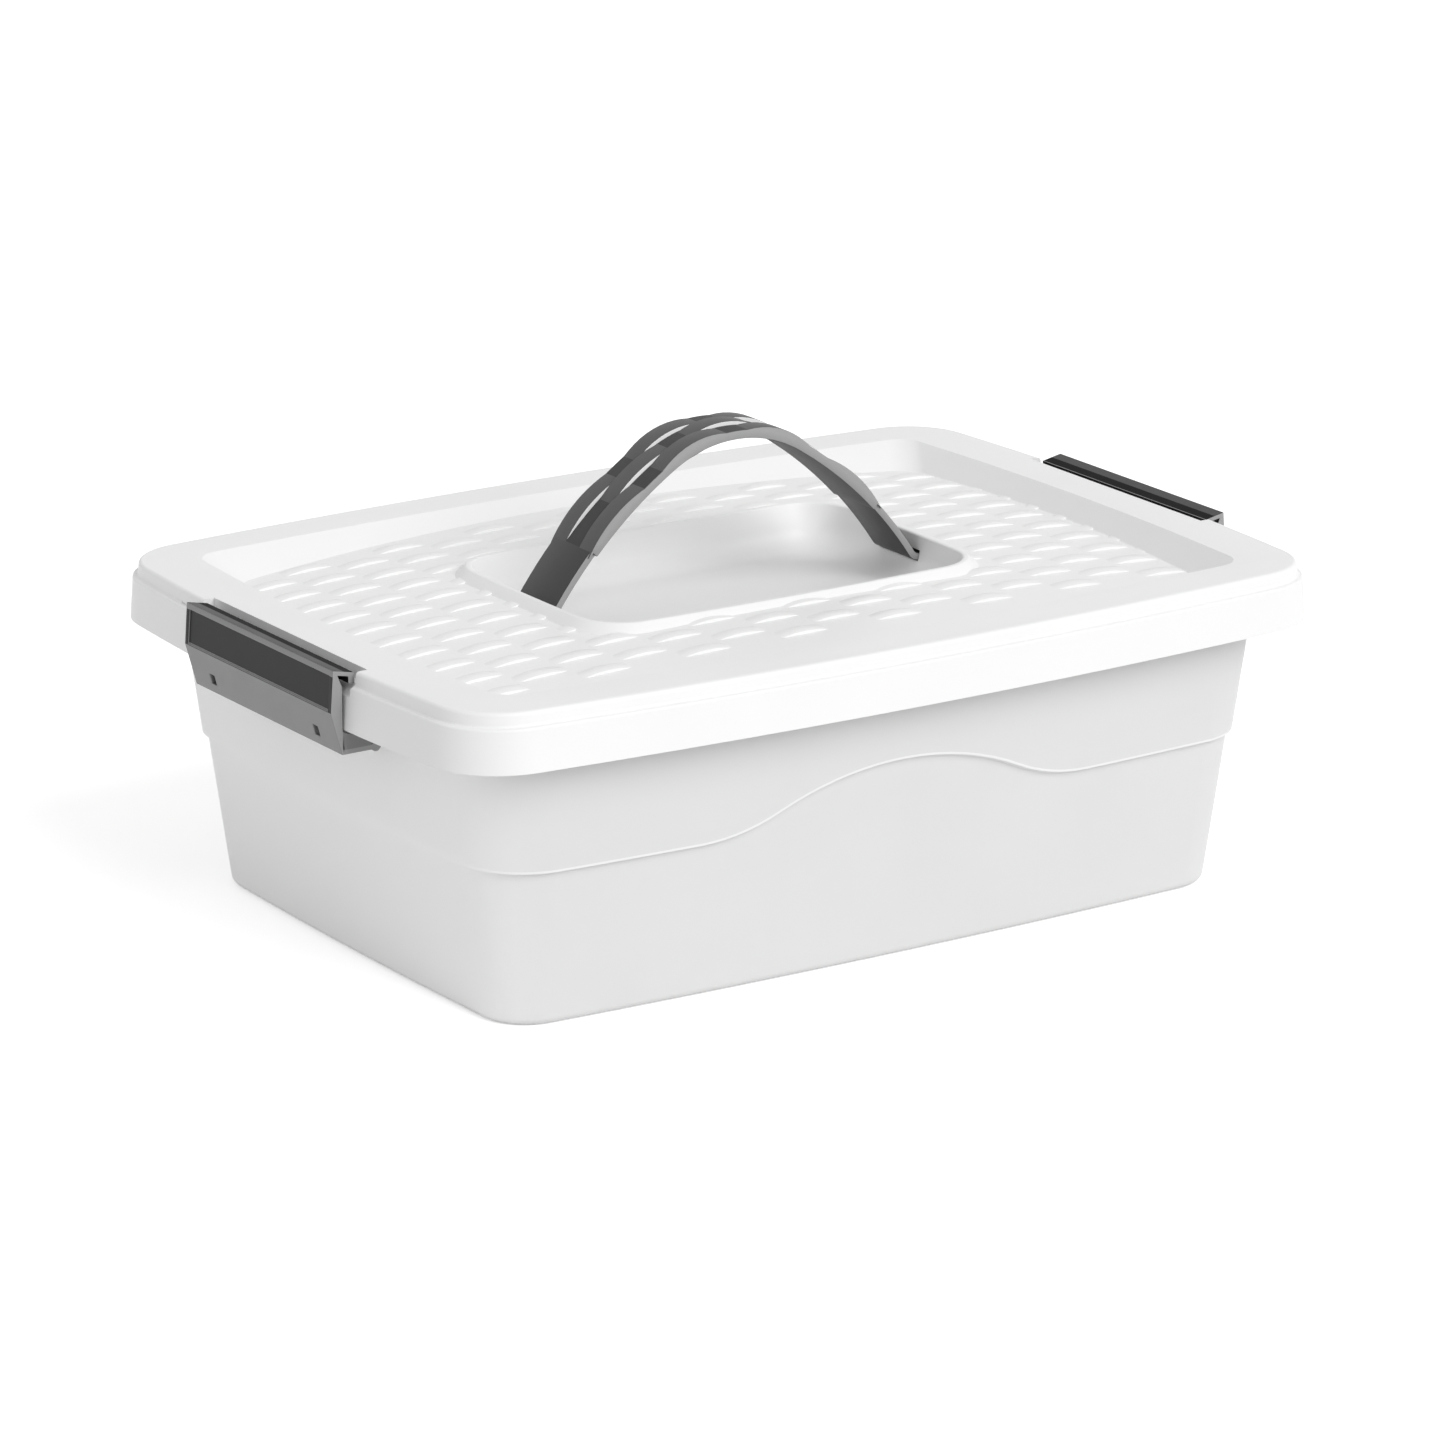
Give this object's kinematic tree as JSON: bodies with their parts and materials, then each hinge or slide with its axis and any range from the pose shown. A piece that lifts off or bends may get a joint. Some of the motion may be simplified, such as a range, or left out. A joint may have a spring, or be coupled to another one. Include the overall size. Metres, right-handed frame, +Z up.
{
  "type": "clip-lid storage box",
  "caption": "Tapered storage tub with a lift-off lid, end latches that hook over the lid, and an arched carrying strap over a finger basin.",
  "frame": {"origin": "middle of the tub's underside, on the surface it stands on", "axes": "+X along the length towards the right-hand latch, +Y towards the back, +Z up"},
  "size_m": [0.4092, 0.2904, 0.1859],
  "materials": {
    "tub": "milky moulded polypropylene, satin gloss",
    "lid": "white moulded polypropylene, satin",
    "latch": "grey moulded polypropylene, satin",
    "strap": "grey flexible thermoplastic, braided relief"
  },
  "bodies": {
    "tub": {"tub": "tub"},
    "lid": {"lid": "lid"},
    "latch_left": {"latch_left": "latch"},
    "latch_right": {"latch_right": "latch"},
    "handle": {"handle_strap": "strap"}
  },
  "joints": [
    {"name": "lid_lift", "type": "slide", "parent": "tub", "child": "lid", "axis": [0, 0, 1], "range_m": [0, 0.0219]},
    {"name": "latch_right_hinge", "type": "hinge", "parent": "tub", "child": "latch_right", "pos_m": [0.1855, 0, 0.0998], "axis": [0, 1, 0], "range_deg": [0, 105]},
    {"name": "latch_left_hinge", "type": "hinge", "parent": "tub", "child": "latch_left", "pos_m": [-0.1855, 0, 0.0998], "axis": [0, -1, 0], "range_deg": [0, 105]},
    {"name": "handle_press", "type": "slide", "parent": "lid", "child": "handle", "axis": [0, 0, -1], "range_m": [0, 0.056], "deforming": ["handle_strap"]}
  ],
  "couplings": [
    {"joint": "latch_right_hinge", "follows": "lid_lift", "rad_per_m": 83.333},
    {"joint": "latch_left_hinge", "follows": "lid_lift", "rad_per_m": 83.333}
  ]
}
